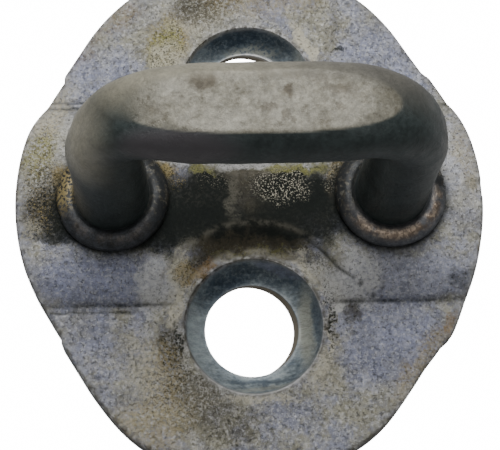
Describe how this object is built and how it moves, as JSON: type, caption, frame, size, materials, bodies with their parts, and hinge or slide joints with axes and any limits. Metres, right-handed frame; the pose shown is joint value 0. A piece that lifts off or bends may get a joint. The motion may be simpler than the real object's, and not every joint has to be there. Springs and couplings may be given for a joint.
{
  "type": "door latch striker",
  "caption": "Door latch striker: pressed zinc-plated steel plate with a raised band and dished screw holes, carrying a fixed U-shaped loop staked through it on round collars.",
  "frame": {"origin": "centre of the mounting plane on the plate's back, midway between the two screw holes and between the two legs", "axes": "+Z out of the plate towards the loop, square to the mounting plane; +Y from screw hole to screw hole, along the plate's longest side; +X along the loop's crossbar, from leg to leg"},
  "size_m": [0.0606, 0.0708, 0.0395],
  "materials": {
    "plate_zinc": "dull weathered zinc plating, mottled, with white and rust-brown corrosion",
    "loop_steel": "dark grimy plated steel, worn beige-grey on the pressed flat",
    "collar_steel": "dark grimy steel, worn coppery and bright on the dome"
  },
  "bodies": {
    "root": {"striker_plate": "plate_zinc", "striker_loop": "loop_steel", "left_seat_collar": "collar_steel", "right_seat_collar": "collar_steel"}
  },
  "joints": []
}
